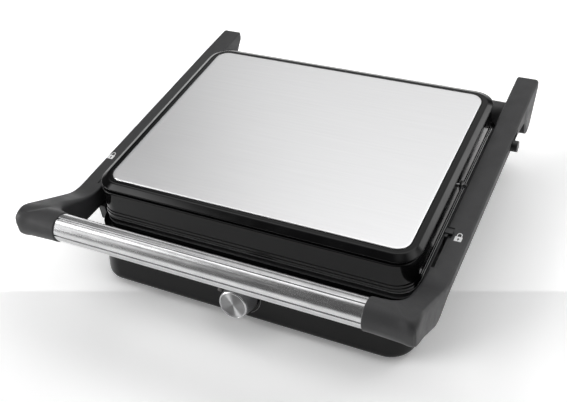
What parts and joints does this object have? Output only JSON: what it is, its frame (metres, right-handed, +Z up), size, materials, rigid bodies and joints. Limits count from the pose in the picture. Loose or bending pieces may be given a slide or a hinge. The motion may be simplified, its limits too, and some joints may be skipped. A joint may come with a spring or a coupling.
{
  "type": "contact grill",
  "caption": "Contact grill for sandwiches: a base and a floating upper housing with ribbed plates, joined by a U-shaped handle frame with a steel bar.",
  "frame": {"origin": "on the table, in the middle of the footprint (handle bar to the arms' rear tips)", "axes": "+Z up, +Y to the back (the hinge side), +X to the right as the user sees it"},
  "size_m": [0.3821, 0.3937, 0.1272],
  "materials": {
    "gloss_black": "high gloss black moulding",
    "soft_black": "fine spark-eroded texture, dark grey",
    "matte_black": "plain satin black",
    "brushed_steel": "long straight brushing",
    "knob_metal": "spun face, fluted skirt",
    "pin_steel": "bright turned steel",
    "screw_steel": "zinc-plated steel",
    "heater_steel": "oxidised heater sheath",
    "tray_sheet": "rolled sheet",
    "coated_casting": "dark non-stick coating on cast aluminium",
    "rubber": "soft rubber",
    "switch_plastic": "pale heat-resistant plastic",
    "bush_plastic": "low-friction plastic",
    "lens_clear": "clear frosted lens",
    "lamp_glass": "small lamp"
  },
  "bodies": {
    "base": {"base_shell": "gloss_black", "base_bottom_cover": "matte_black", "rubber_feet": "rubber", "bottom_cover_screws": "screw_steel", "lower_grill_plate": "coated_casting", "lower_heating_element": "heater_steel", "lower_reflector": "tray_sheet", "right_hinge_tower": "soft_black", "left_hinge_tower": "soft_black", "hinge_pins": "pin_steel", "right_lock_catch": "soft_black", "left_lock_catch": "soft_black", "thermostat_body": "switch_plastic", "thermostat_bracket": "tray_sheet", "indicator_lens": "lens_clear", "indicator_lamp": "lamp_glass", "cord_inlet_gland": "matte_black", "terminal_block": "switch_plastic", "lower_thermal_fuse": "tray_sheet"},
    "handle_frame": {"right_arm": "soft_black", "left_arm": "soft_black", "right_arm_cover": "matte_black", "left_arm_cover": "matte_black", "arm_cover_screws": "screw_steel", "hinge_bushes": "bush_plastic", "hinge_caps": "matte_black", "handle_bar": "brushed_steel", "handle_tie_rod": "screw_steel", "float_pins": "pin_steel"},
    "upper_housing": {"lid_shell": "gloss_black", "steel_top_plate": "brushed_steel", "upper_grill_plate": "coated_casting", "upper_plate_studs": "screw_steel", "lid_cross_straps": "tray_sheet", "upper_heating_element": "heater_steel", "upper_reflector": "tray_sheet", "float_bushes": "bush_plastic", "upper_thermal_fuse": "tray_sheet"},
    "knob": {"knob_skirt": "knob_metal", "knob_face": "knob_metal", "knob_shaft": "screw_steel"},
    "right_lock": {"right_lock_slider": "matte_black"},
    "left_lock": {"left_lock_slider": "matte_black"},
    "release": {"release_peg": "matte_black", "release_latch_bar": "screw_steel"}
  },
  "joints": [
    {"name": "lid_hinge", "type": "hinge", "parent": "base", "child": "handle_frame", "pos_m": [0, 0.156, 0.0632], "axis": [-1, 0, 0], "range_deg": [0, 180]},
    {"name": "lid_float", "type": "hinge", "parent": "handle_frame", "child": "upper_housing", "pos_m": [0, 0.017, 0.08], "axis": [-1, 0, 0], "range_deg": [-1.5, 1.5]},
    {"name": "knob_turn", "type": "hinge", "parent": "base", "child": "knob", "pos_m": [0, -0.1382, 0.03075], "axis": [0, -0.9755, 0.2198], "range_deg": [-270, 0]},
    {"name": "right_lock_slide", "type": "slide", "parent": "handle_frame", "child": "right_lock", "axis": [0, -1, 0], "range_m": [0, 0.024]},
    {"name": "left_lock_slide", "type": "slide", "parent": "handle_frame", "child": "left_lock", "axis": [0, -1, 0], "range_m": [0, 0.024]},
    {"name": "release_slide", "type": "slide", "parent": "handle_frame", "child": "release", "axis": [0, 1, 0], "range_m": [0, 0.016]}
  ]
}
